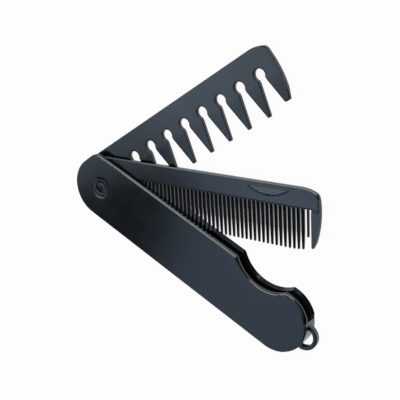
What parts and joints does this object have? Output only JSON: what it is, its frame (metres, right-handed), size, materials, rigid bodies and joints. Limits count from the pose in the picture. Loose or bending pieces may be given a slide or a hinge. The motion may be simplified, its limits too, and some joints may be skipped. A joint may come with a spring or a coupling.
{
  "type": "folding comb",
  "caption": "Slim pocket case with a wide-tooth comb and a fine-tooth comb that fold into it on a rivet, with a finger notch and a lanyard loop.",
  "frame": {"origin": "on the rivet's axis, in the plane of the case's rear face, on which the part lies", "axes": "+X along the case from the rivet to the lanyard loop, +Y out of the case's open side, +Z out of its front face"},
  "size_m": [0.1311, 0.1117, 0.0078],
  "materials": {
    "case": "satin moulded plastic, dark slate grey",
    "combs": "satin moulded plastic, dark slate grey, a little lighter than the case",
    "rivet": "satin moulded plastic, dark slate grey",
    "washers": "thin slippery plastic film, pale grey"
  },
  "bodies": {
    "case": {"rear_shell": "case", "front_cover": "case", "pivot_post": "rivet", "pivot_pin": "rivet", "front_washer": "washers", "middle_washer": "washers", "rear_washer": "washers"},
    "wide_comb": {"wide_comb": "combs"},
    "fine_comb": {"fine_comb": "combs"}
  },
  "joints": [
    {"name": "wide_comb_pivot", "type": "hinge", "parent": "case", "child": "wide_comb", "pos_m": [0, 0, 0.00288], "axis": [0, 0, 1], "range_deg": [-59, 121]},
    {"name": "fine_comb_pivot", "type": "hinge", "parent": "case", "child": "fine_comb", "pos_m": [0, 0, 0.00491], "axis": [0, 0, 1], "range_deg": [-26.5, 153.5]}
  ]
}
